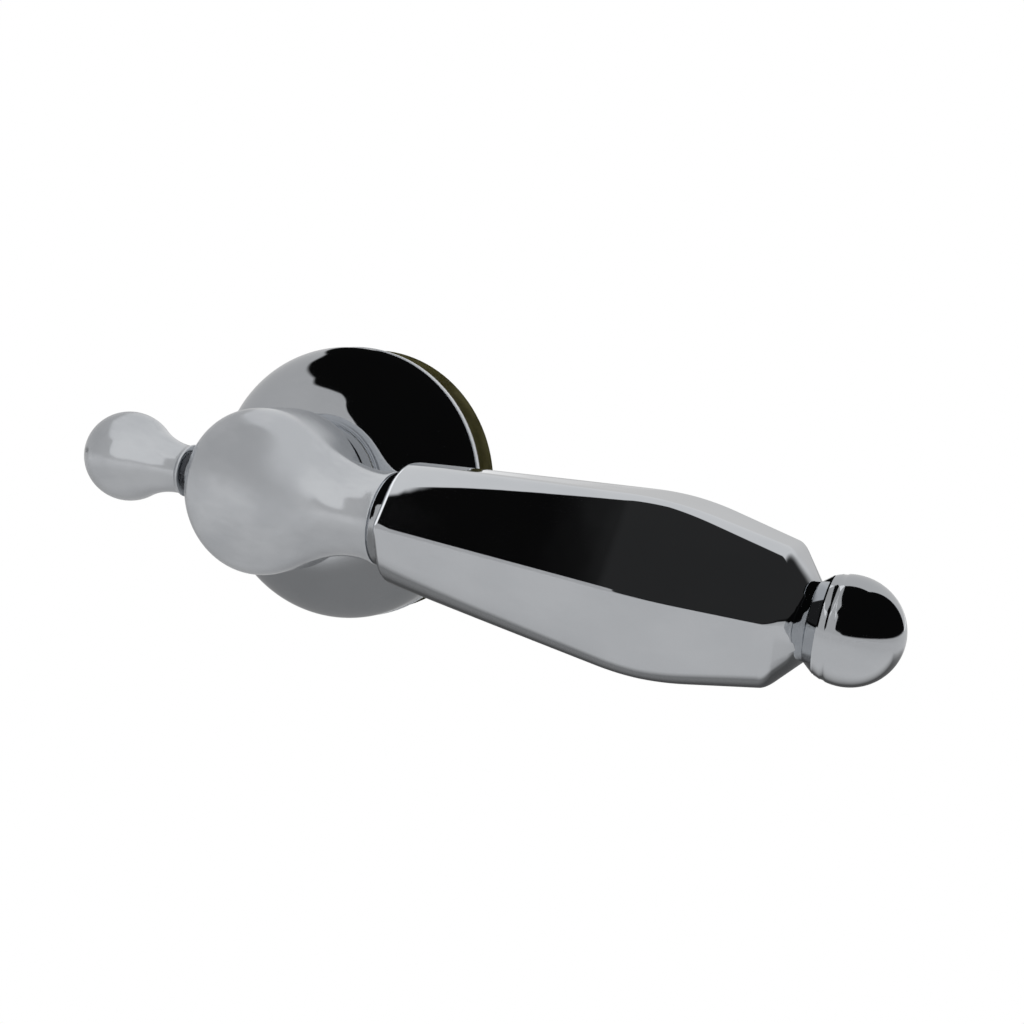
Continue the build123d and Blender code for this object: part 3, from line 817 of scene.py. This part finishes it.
def makeHub(h):
    bm = spunShape(hubOutline(h), spindleAxis, leverPoint, h["around"])
    ring, edges = openNeck(bm, h)
    begin = [(v.co / mm).x for v in ring]
    blend = (h["waistX"] ** 2 + h["waist"] ** 2 - h["radius"] ** 2) / (2 * (h["radius"] - h["waist"]))
    stations = [(share, 0, 0) for share in h["sweep"]]
    stations.append((1.0, h["waistX"], h["waist"]))
    stations.append((1.0, h["waistX"] + h["flareRun"], h["waist"] + h["flareRise"]))
    stations += [(1.0, h["endX"] - inset, h["end"] - drop) for inset, drop in h["endRim"]]
    stations.append((1.0, h["endX"], h["groove"]))
    stations.append((1.0, h["endX"], h["groove"] - h["grooveLap"]))
    loose = list(ring)
    for share, stationX, radius in stations:
        ring, edges = growRing(bm, ring, edges)
        if share < 1:
            loose += ring
        for i, v in enumerate(ring):
            turn = math.tau * i / len(ring)
            x = stationX
            depth = radius
            height = radius
            if share < 1:  # the waist's sweep out of the cushion
                x = begin[i] + (h["waistX"] - begin[i]) * share
                depth = h["rootDepth"] + (h["waist"] - h["rootDepth"]) * share
                height = h["waist"] + blend - math.sqrt(blend**2 - (h["waistX"] - x) ** 2)
            v.co = Vector((x, leverY + depth * math.cos(turn), height * math.sin(turn))) * mm
    everyAxis = {"use_axis_x": True, "use_axis_y": True, "use_axis_z": True}
    for _ in range(h["smoothRounds"]):
        bmesh.ops.smooth_vert(bm, verts=loose, factor=h["smoothShare"], **everyAxis)
    bmesh.ops.holes_fill(bm, edges=edges, sides=0)
    bmesh.ops.recalc_face_normals(bm, faces=bm.faces)
    piece = finishPiece(bm, "waisted_hub", "lever", satinChrome, ["lever_hub"], h["sharp"])
    smoother = piece.modifiers.new("cast_form", "SUBSURF")
    smoother.levels = h["levels"]
    smoother.render_levels = h["levels"]


makeHub(hub)

# a bright ring between the neck and the grip, with a small cove at each side
neckGroove = {"foot": 5.2, "cove": 0.4, "coveSteps": 5, "steps": 96}


def makeNeckGroove(n, begin, finish, floor):
    cove = n["cove"]
    riseArc = arcPoints((0, 0), cove, -2 * quarter, -quarter, n["coveSteps"])
    fallArc = arcPoints((0, 0), cove, -quarter, 0, n["coveSteps"])
    rise = [(begin + cove + a, floor + cove + r) for a, r in riseArc]
    fall = [(finish - cove + a, floor + cove + r) for a, r in fallArc]
    outline = [(begin, n["foot"]), *rise, *fall, (finish, n["foot"]), (begin, n["foot"])]
    bm = spunShape(outline, leverAxis, leverPoint, n["steps"])
    finishPiece(bm, "neck_groove", "lever", polishedChrome, ["lever_hub"])


makeNeckGroove(neckGroove, hub["endX"], gripLow.x, hub["groove"])
print("hub made")

# shank: round head, cut thread and chamfered tail
shank = {
    "bore": 5.3,
    "head": 10.4,
    "headThickness": 1.8,
    "headChamfer": 0.4,
    "root": 7.3,
    "crest": 7.95,
    "crestShare": 1 / 16,
    "pitch": 1.5,
    "footShare": 0.47,
    "sink": 0.1,
    "tail": 0.5,
    "steps": 72,
    "sharp": 20.0,
}


def makeShank(s):
    front = shankLow.y
    back = shankHigh.y
    under = front + s["headThickness"]
    outline = [
        (front, s["bore"]),
        (front, s["head"] - s["headChamfer"]),
        (front + s["headChamfer"], s["head"]),
        (under, s["head"]),
        (under, s["root"]),
        (back - s["tail"], s["root"]),
        (back, s["root"] - s["tail"]),
        (back, s["bore"]),
        (front, s["bore"]),
    ]
    bm = spunShape(outline, spindleAxis, wallPoint, s["steps"])
    # one thread, wound round the tube, its crest turned off towards the tail
    half = s["pitch"] * s["footShare"]
    crestHalf = s["pitch"] * s["crestShare"]
    floor = s["root"] - s["sink"]
    profile = [(-half, floor), (-crestHalf, s["crest"]), (crestHalf, s["crest"]), (half, floor)]
    start = under + s["pitch"]
    turns = math.floor((back - half - start) / s["pitch"])
    tube = set(bm.verts)
    points = [bm.verts.new(Vector((0, start + a, r)) * mm) for a, r in profile]
    edges = [bm.edges.new(pair) for pair in zip(points, points[1:] + points[:1])]
    bmesh.ops.spin(
        bm,
        geom=points + edges,
        cent=wallPoint,
        axis=spindleAxis,
        dvec=Vector((0, s["pitch"] / s["steps"], 0)) * mm,
        angle=math.tau * turns,
        steps=s["steps"] * turns,
    )
    closeHoles(bm)
    for v in bm.verts:
        reach = math.hypot(v.co.x, v.co.z) / mm
        allowed = floor + max(0, back - s["tail"] - v.co.y / mm)
        if v not in tube and reach > allowed:
            v.co.x *= allowed / reach
            v.co.z *= allowed / reach
    mendShape(bm)
    finishPiece(bm, "threaded_shank", "mounting", polishedChrome, ["shank"], s["sharp"])


makeShank(shank)

# lock nut: a hexagon with its back corners turned off
lockNut = {"bore": 8.0, "boreChamfer": 0.5, "drop": 1.0, "faceEase": 0.05, "steps": 96, "sharp": 12.0}


def makeLockNut(n):
    flat = nutHigh.z
    corner = flat / math.cos(halfTurn)
    front = nutLow.y
    back = nutHigh.y
    count = n["steps"]
    turns = [math.tau * i / count for i in range(count)]
    hexes = [flat / math.cos((t + halfTurn) % math.radians(sideTurn) - halfTurn) for t in turns]
    drops = [n["drop"] * (r - flat) / (corner - flat) for r in hexes]
    bore = [n["bore"]] * count
    rows = [
        ([front] * count, bore),
        ([front] * count, hexes),
        ([back - d for d in drops], hexes),
        ([back] * count, [flat - n["faceEase"]] * count),
        ([back] * count, [n["bore"] + n["boreChamfer"]] * count),
        ([back - n["boreChamfer"]] * count, bore),
        ([front] * count, bore),
    ]
    bm = bmesh.new()
    ring, edges = firstRing(bm, count)
    for i, (heights, radii) in enumerate(rows):
        if i:
            ring, edges = growRing(bm, ring, edges)
        for v, t, y, r in zip(ring, turns, heights, radii):
            v.co = Vector((r * math.sin(t), y, r * math.cos(t))) * mm
    mendShape(bm)
    finishPiece(bm, "hexagon_nut", "mounting", turnedBrass, ["lock_nut"], n["sharp"])


makeLockNut(lockNut)

# plain rings on the shank and spindle
ringSteps = 96
rimSteps = 3
sealRing = {"name": "inner_seal_ring", "node": "inner_seal", "body": "mounting", "bore": 8.1, "rim": 0.3}
washerRing = {
    "name": "inner_washer_ring",
    "node": "inner_washer",
    "body": "mounting",
    "bore": 8.1,
    "rim": 0.15,
}
clipRing = {"name": "clip_washer_ring", "node": "clip_washer", "body": "lever", "bore": 4.1, "rim": 0.12}


def makeRing(r, material):
    low, high = nodeBox(r["node"])
    bm = washerShape(low.y, high.y, r["bore"], high.x, r["rim"], rimSteps, ringSteps)
    finishPiece(bm, r["name"], r["body"], material, [r["node"]])


makeRing(sealRing, blackRubber)
makeRing(washerRing, turnedBrass)
makeRing(clipRing, brightSteel)

# bushes: a flange outside the shank and a sleeve inside it
frontBush = {
    "name": "flanged_front_bush",
    "node": "front_bush",
    "flange": 0.8,
    "sleeve": 5.3,
    "bore": 4.15,
    "rim": 0.2,
}
rearBush = {**frontBush, "name": "flanged_rear_bush", "node": "rear_bush"}


def makeBush(b, inwards):
    low, high = nodeBox(b["node"])
    face, tail = (low.y, high.y) if inwards > 0 else (high.y, low.y)
    step = face + b["flange"] * inwards
    outline = [
        (face, b["bore"]),
        (face, high.x),
        (step, high.x),
        (step, b["sleeve"]),
        (tail, b["sleeve"]),
        (tail, b["bore"]),
        (face, b["bore"]),
    ]
    bm = spunShape(outline, spindleAxis, wallPoint, ringSteps)
    softenRing(bm, spindleAxis, face, high.x, wallPoint, b["rim"], rimSteps)
    finishPiece(bm, b["name"], "mounting", naturalNylon, [b["node"]])


makeBush(frontBush, 1)
makeBush(rearBush, -1)

# spindle: a flatted nose in the hub, a plain journal with the clip's groove, and a flatted seat behind
spindle = {
    "radius": 4.0,
    "chamfer": 0.5,
    "nose": 7.4,
    "noseFlat": 3.4,
    "groove": 3.3,
    "grooveEase": 0.1,
    "seat": 3.5,
    "seatLength": 14.0,
    "seatFlat": 3.0,
    "rim": 0.2,
    "steps": 80,
}


def makeTurned(name, outline, steps, flat=None):
    bm = spunShape(outline, spindleAxis, wallPoint, steps)
    if flat:
        bmesh.ops.bisect_plane(
            bm,
            geom=bm.verts[:] + bm.edges[:] + bm.faces[:],
            dist=cutSlack * mm,
            plane_co=(0, 0, -flat * mm),
            plane_no=(0, 0, -1),
            clear_outer=True,
        )
        closeHoles(bm)
        bmesh.ops.recalc_face_normals(bm, faces=bm.faces)
    finishPiece(bm, name, "lever", turnedBrass, ["spindle"])


def makeSpindle(s):
    low, high = nodeBox("spindle")
    clipLow, clipHigh = nodeBox("retaining_clip")
    noseEnd = low.y + s["nose"]
    grooveEnd = clipHigh.y + s["grooveEase"]
    seatStart = high.y - s["seatLength"]
    nose = [
        (low.y, 0),
        (low.y, s["radius"] - s["chamfer"]),
        (low.y + s["chamfer"], s["radius"]),
        (noseEnd, s["radius"]),
        (noseEnd, 0),
    ]
    journal = [
        (noseEnd, 0),
        (noseEnd, s["radius"]),
        (clipLow.y, s["radius"]),
        (clipLow.y, s["groove"]),
        (grooveEnd, s["groove"]),
        (grooveEnd, s["radius"]),
        (seatStart - s["rim"], s["radius"]),
        (seatStart, s["radius"] - s["rim"]),
        (seatStart, 0),
    ]
    seat = [
        (seatStart, 0),
        (seatStart, s["seat"]),
        (high.y - s["chamfer"], s["seat"]),
        (high.y, s["seat"] - s["chamfer"]),
        (high.y, 0),
    ]
    makeTurned("spindle_nose", nose, s["steps"], s["noseFlat"])
    makeTurned("spindle_journal", journal, s["steps"])
    makeTurned("spindle_arm_seat", seat, s["steps"], s["seatFlat"])


makeSpindle(spindle)
print("shank, nut, rings, bushes and spindle made")


# stage: white floor, the room that the chrome shows, lamps and camera
def stageSheet(name, bm, shade):
    mesh = bpy.data.meshes.new(name)
    bm.to_mesh(mesh)
    bm.free()
    made = bpy.data.materials.new(name)
    made.use_nodes = True
    made.node_tree.nodes.clear()
    nodes = Shade(made.node_tree)
    nodes.node("ShaderNodeOutputMaterial", {}, {"Surface": shade(nodes)})
    mesh.materials.append(made)
    sheet = bpy.data.objects.new(name, mesh)
    scene.collection.objects.link(sheet)
    return sheet


def lightPath(nodes, name):
    made = nodes.tree.nodes.new("ShaderNodeLightPath")
    return Shade(nodes.tree, made.outputs[name])


def seenRay(nodes):
    return lightPath(nodes, "Is Camera Ray").highest(lightPath(nodes, "Is Transmission Ray"))


def axes(nodes, where):
    split = nodes.tree.nodes.new("ShaderNodeSeparateXYZ")
    nodes.tree.links.new(where.socket, split.inputs[0])
    return [Shade(nodes.tree, socket) for socket in split.outputs]


# the floor's glossy tone is painted shadow: darker right under the object and growing with distance, with a
# painted dark patch behind the object (spans in metres)
floorSpec = {
    "z": -300.0,
    "size": 8000.0,
    "paint": (0.85, 0.85, 0.85, 1.0),
    "under": 0.26,
    "away": 0.6,
    "start": 0.12,
    "stop": 0.9,
    "shade": 0.65,
    "shadeStart": (0.0, 0.25),
    "shadeStop": (0.9, 1.6),
    "shadeSide": (0.4, 1.0),
}


def reachTone(nodes, near, far):
    f = floorSpec
    reach = nodes.node("ShaderNodeVectorMath", {"operation": "LENGTH"}, {0: place(nodes)}, 1)
    return reach.smooth(f["start"] - f["z"] * mm, f["stop"] - f["z"] * mm, near, far)


def floorTone(nodes):
    f = floorSpec
    x, y = axes(nodes, place(nodes))[:2]
    # painted shadow of the object on the floor, which only reflections show
    depth = y.smooth(*f["shadeStart"]) * y.smooth(*f["shadeStop"], 1.0, 0.0)
    behind = depth * x.smooth(*f["shadeSide"], 1.0, 0.0)
    return reachTone(nodes, f["under"], f["away"]) * (1 - behind * f["shade"])


def floorShade(nodes):
    seen = seenRay(nodes)
    glossy = lightPath(nodes, "Is Glossy Ray")
    paint = nodes.node("ShaderNodeBsdfDiffuse", {}, {"Color": floorSpec["paint"]})
    glow = nodes.node("ShaderNodeEmission", {}, {"Strength": seen + glossy * floorTone(nodes)})
    return nodes.node("ShaderNodeMixShader", {}, {0: seen.highest(glossy), 1: paint, 2: glow})


def flatSheet(size, z):
    bm = bmesh.new()
    bmesh.ops.create_grid(bm, x_segments=1, y_segments=1, size=size / 2 * mm)
    bmesh.ops.translate(bm, verts=bm.verts, vec=(0, 0, z * mm))
    return bm


stageSheet("floor", flatSheet(floorSpec["size"], floorSpec["z"]), floorShade)

# a pale tent, with its edge at these heights round the compass (0 in front, 90 on the right)
roomSpec = {
    "edge": [
        (-180, 1),
        (-165, 2),
        (-156, 4),
        (-146, 14),
        (-130, 35),
        (-105, 41),
        (-64, 43),
        (-52, 37),
        (-34, 35.5),
        (-26, 34),
        (-22, 26),
        (-20.4, 7),
        (-8, 1),
        (0, -2),
        (60, 1),
        (150, 1),
        (180, 1),
    ],
    "edgeBase": 10,
    "edgeSpan": 60,
    "soft": 1.5,
    "tent": 0.55,
    "backdrop": 0.62,
    "backdropSpan": (110, 155),
    "gloom": 0.004,
    "white": (1.0, 1.0, 1.0, 1.0),
}
degrees = 180 / math.pi


def tentEdge(nodes, sight, r):
    # how far a line of sight is past the tent's edge, and its compass bearing
    x, y, z = axes(nodes, sight)
    bearing = nodes.maths("ARCTAN2", x, -y) * degrees
    height = nodes.maths("ARCSINE", z) * degrees
    base = r["edgeBase"]
    span = r["edgeSpan"]
    stops = [((azimuth + 180) / 360, (edge + base) / span) for azimuth, edge in r["edge"]]
    ramp = nodes.node("ShaderNodeValToRGB", {"stops": stops}, {0: (bearing + 180) / 360})
    edge = ramp * span - base
    return height.smooth(edge - r["soft"], edge + r["soft"]), bearing


def makeRoom(r):
    world = bpy.data.worlds.new("studio")
    scene.world = world
    world.use_nodes = True
    world.node_tree.nodes.clear()
    nodes = Shade(world.node_tree)
    dark, bearing = tentEdge(nodes, nodes.node("ShaderNodeTexCoord", output=0), r)
    light = abs(bearing).smooth(*r["backdropSpan"], r["tent"], r["backdrop"])
    tone = light + dark * (r["gloom"] - light)
    strength = tone + seenRay(nodes) * (1 - tone)
    back = nodes.node("ShaderNodeBackground", {}, {"Color": r["white"], "Strength": strength})
    nodes.node("ShaderNodeOutputWorld", {}, {"Surface": back})


makeRoom(roomSpec)

# light that only the named pieces show: a sky over them, and a lighter floor under them
canopySpec = {"radius": 2000.0, "tone": 0.82, "pieces": ["waisted_hub", "side_ball", "escutcheon_lip"]}
domeSkySpec = {
    "radius": 1950.0,
    "tone": 0.55,
    "bounce": (1.4, 1.6),
    "pieces": ["escutcheon_dome", "threaded_shank"],
}
gripSkySpec = {
    "radius": 1900.0,
    "roof": 0.86,
    "roofSpan": (-11, -7),
    "roofFoot": (0.03, 0.06),
    "roofSide": (0.5, 0.8),
    "backSpan": (-88, -55),
    "backTone": 0.7,
    "leftTurn": 75,
    "leftStart": 0.36,
    "front": 0.026,
    "frontFoot": (0.05, 0.15),
    "frontSide": (-0.47, -0.36),
    "pieces": ["six_sided_grip"],
}
liftSpec = [
    {
        "name": "hub_lift",
        "near": 0.58,
        "far": 0.7,
        "fade": 0.2,
        "span": (-0.11, 0.16),
        "pieces": canopySpec["pieces"],
    },
    {
        "name": "dome_lift",
        "near": 0.26,
        "far": 0.6,
        "fade": 0.0,
        "span": (0.0, 1.0),
        "pieces": ["escutcheon_dome"],
    },
    {
        "name": "grip_lift",
        "near": 0.67,
        "far": 0.67,
        "fade": 1.0,
        "span": (-0.13, 0.06),
        "pieces": ["six_sided_grip"],
    },
    {
        "name": "ball_lift",
        "near": 0.66,
        "far": 0.6,
        "fade": 1.0,
        "span": (-0.05, 0.35),
        "pieces": ["end_ball", "end_collar"],
    },
]
# where a lift's back line leaves the X direction, in metres, and how steeply
liftBend = {"x": 0.1, "slope": 0.5}
skySegments = {"u_segments": 48, "v_segments": 24}


def linkLight(source, pieceNames):
    lit = bpy.data.collections.new(source.name + "_lit")
    for pieceName in pieceNames:
        lit.objects.link(bpy.data.objects[pieceName])
    source.light_linking.receiver_collection = lit


def clearGlow(nodes, strength):
    glow = nodes.node("ShaderNodeEmission", {}, {"Strength": strength})
    clear = nodes.node("ShaderNodeBsdfTransparent")
    return nodes.node("ShaderNodeAddShader", {}, {0: clear, 1: glow})


def outwards(nodes):
    ends = {0: place(nodes), 1: Vector(leverPoint) * mm}
    away = nodes.node("ShaderNodeVectorMath", {"operation": "SUBTRACT"}, ends)
    return nodes.node("ShaderNodeVectorMath", {"operation": "NORMALIZE"}, {0: away})


def canopyShade(nodes):
    dark = tentEdge(nodes, outwards(nodes), roomSpec)[0]
    return clearGlow(nodes, dark * canopySpec["tone"])


def domeSkyShade(nodes):
    # the dome is dark to the eye but light in the mirror images of the pieces next to it
    dark = tentEdge(nodes, outwards(nodes), roomSpec)[0]
    again = lightPath(nodes, "Glossy Depth").smooth(*domeSkySpec["bounce"])
    return clearGlow(nodes, dark * again * domeSkySpec["tone"])


def gripSkyShade(nodes):
    # a light roof from overhead to the back, and a faint glow in front
    g = gripSkySpec
    x, y, z = axes(nodes, outwards(nodes))
    lean = nodes.maths("ARCTAN2", -y, z) * degrees
    turned = lean - (-x).highest(g["leftStart"]) * g["leftTurn"]
    overhead = turned.smooth(*g["roofSpan"], 1.0, 0.0) * z.smooth(*g["roofFoot"])
    roof = overhead * x.smooth(*g["roofSide"], 1.0, 0.0)
    front = (1 - roof) * z.smooth(*g["frontFoot"]) * x.smooth(*g["frontSide"])
    roof = roof * lean.smooth(*g["backSpan"], g["backTone"], 1.0)
    return clearGlow(nodes, roof * g["roof"] + front * g["front"])


def linkedSheet(name, bm, shade, pieceNames):
    sheet = stageSheet(name, bm, shade)
    sheet.visible_camera = False
    sheet.visible_diffuse = False
    sheet.visible_transmission = False
    sheet.visible_shadow = False
    linkLight(sheet, pieceNames)


def makeSky(name, spec, shade):
    bm = bmesh.new()
    bmesh.ops.create_uvsphere(bm, radius=spec["radius"] * mm, **skySegments)
    bmesh.ops.translate(bm, verts=bm.verts, vec=Vector(leverPoint) * mm)
    linkedSheet(name, bm, shade, spec["pieces"])


def makeLift(spec, z):
    def shade(nodes):
        x, y = axes(nodes, place(nodes))[:2]
        behind = y - (x - liftBend["x"]).highest(0.0) * liftBend["slope"]
        kept = behind.smooth(*spec["span"], 1.0, 1 - spec["fade"])
        wanted = reachTone(nodes, spec["near"], spec["far"]) * kept
        return clearGlow(nodes, (wanted - floorTone(nodes)).highest(0.0))

    linkedSheet(spec["name"], flatSheet(floorSpec["size"] / 2, z), shade, spec["pieces"])


makeSky("canopy", canopySpec, canopyShade)
makeSky("dome_sky", domeSkySpec, domeSkyShade)
makeSky("grip_sky", gripSkySpec, gripSkyShade)
for liftIndex, lift in enumerate(liftSpec):
    makeLift(lift, floorSpec["z"] + 1 + liftIndex)

# soft lamps: three for the dull finishes, the rest for the pieces that they name
lampSpec = [
    {"name": "left_softbox", "at": (-320, -420, 380), "aim": (0, 0, 0), "size": (420, 420), "power": 5.0},
    {"name": "right_fill", "at": (420, -260, 160), "aim": (0, 0, 0), "size": (400, 400), "power": 2.4},
    {"name": "back_fill", "at": (60, 480, 260), "aim": (0, 0, 0), "size": (420, 420), "power": 3.5},
    {
        "name": "ball_back_panel",
        "at": (-200, 300, 450),
        "aim": (-200, 0, 450),
        "size": (1000, 900),
        "power": 1.72,
        "pieces": ["end_ball"],
    },
    {
        "name": "ball_left_panel",
        "at": (-300, -200, 670),
        "aim": (0, -200, 670),
        "size": (1000, 660),
        "power": 1.0,
        "pieces": ["end_ball"],
    },
]


def makeLamps(lamps):
    for spec in lamps:
        data = bpy.data.lights.new(spec["name"], "AREA")
        data.shape = "RECTANGLE"
        data.size = spec["size"][0] * mm
        data.size_y = spec["size"][1] * mm
        data.energy = spec["power"]
        lamp = bpy.data.objects.new(spec["name"], data)
        lamp.location = Vector(spec["at"]) * mm
        sight = Vector(spec["aim"]) - Vector(spec["at"])
        lamp.rotation_euler = sight.to_track_quat("-Z", "Y").to_euler()
        lamp.visible_camera = False
        lamp.visible_glossy = "pieces" in spec
        scene.collection.objects.link(lamp)
        if "pieces" in spec:
            linkLight(lamp, spec["pieces"])


makeLamps(lampSpec)

cameraSpec = {
    "at": (110.07, -221.70, 33.49),
    "aim": (21.95, 9.93, -1.46),
    "roll": 10.08,
    "lens": 51.15,
    "sensor": 36.0,
    "nearest": 0.005,
}


def makeCamera(c):
    data = bpy.data.cameras.new("camera")
    data.lens = c["lens"]
    data.sensor_width = c["sensor"]
    data.sensor_fit = "HORIZONTAL"
    data.clip_start = c["nearest"]
    camera = bpy.data.objects.new("camera", data)
    sight = Vector(c["aim"]) - Vector(c["at"])
    turn = sight.to_track_quat("-Z", "Y") @ Quaternion((0, 0, 1), math.radians(c["roll"]))
    camera.matrix_world = Matrix.Translation(Vector(c["at"]) * mm) @ turn.to_matrix().to_4x4()
    scene.collection.objects.link(camera)
    scene.camera = camera


makeCamera(cameraSpec)
print("stage, lamps and camera set")
